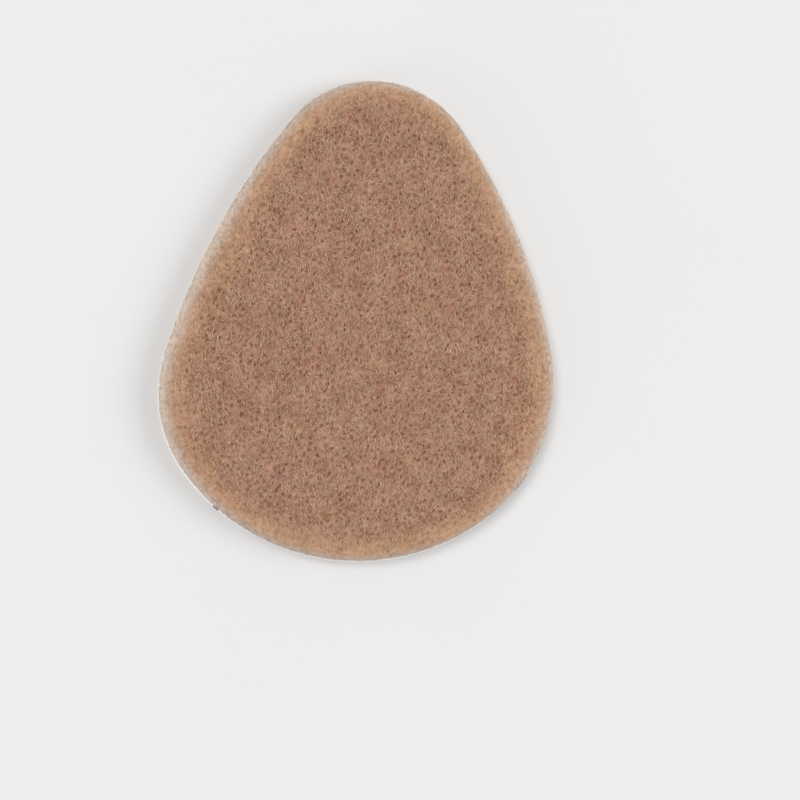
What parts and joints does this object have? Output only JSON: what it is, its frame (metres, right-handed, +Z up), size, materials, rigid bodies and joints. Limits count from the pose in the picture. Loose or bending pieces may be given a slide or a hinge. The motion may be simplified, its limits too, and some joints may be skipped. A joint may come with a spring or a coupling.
{
  "type": "metatarsal pad",
  "caption": "Egg-shaped thick felt foot pad with a flat underside, pared paler edge and soft shoulder, lying on its thin paper release liner.",
  "frame": {"origin": "on the underside of the release liner, on the pad's long axis and halfway along the felt's length", "axes": "+Z up, out of the felt's upper face; +Y along the pad's length, towards the narrow tip; +X to the right seen from above with the tip away"},
  "size_m": [0.0582, 0.0703, 0.0052],
  "materials": {
    "tan_felt": "pressed felt, matt and slightly fuzzy, paler at the pared edge",
    "liner_paper": "coated white release paper, slightly satin"
  },
  "bodies": {
    "root": {"felt_pad": "tan_felt", "release_liner": "liner_paper"}
  },
  "joints": []
}
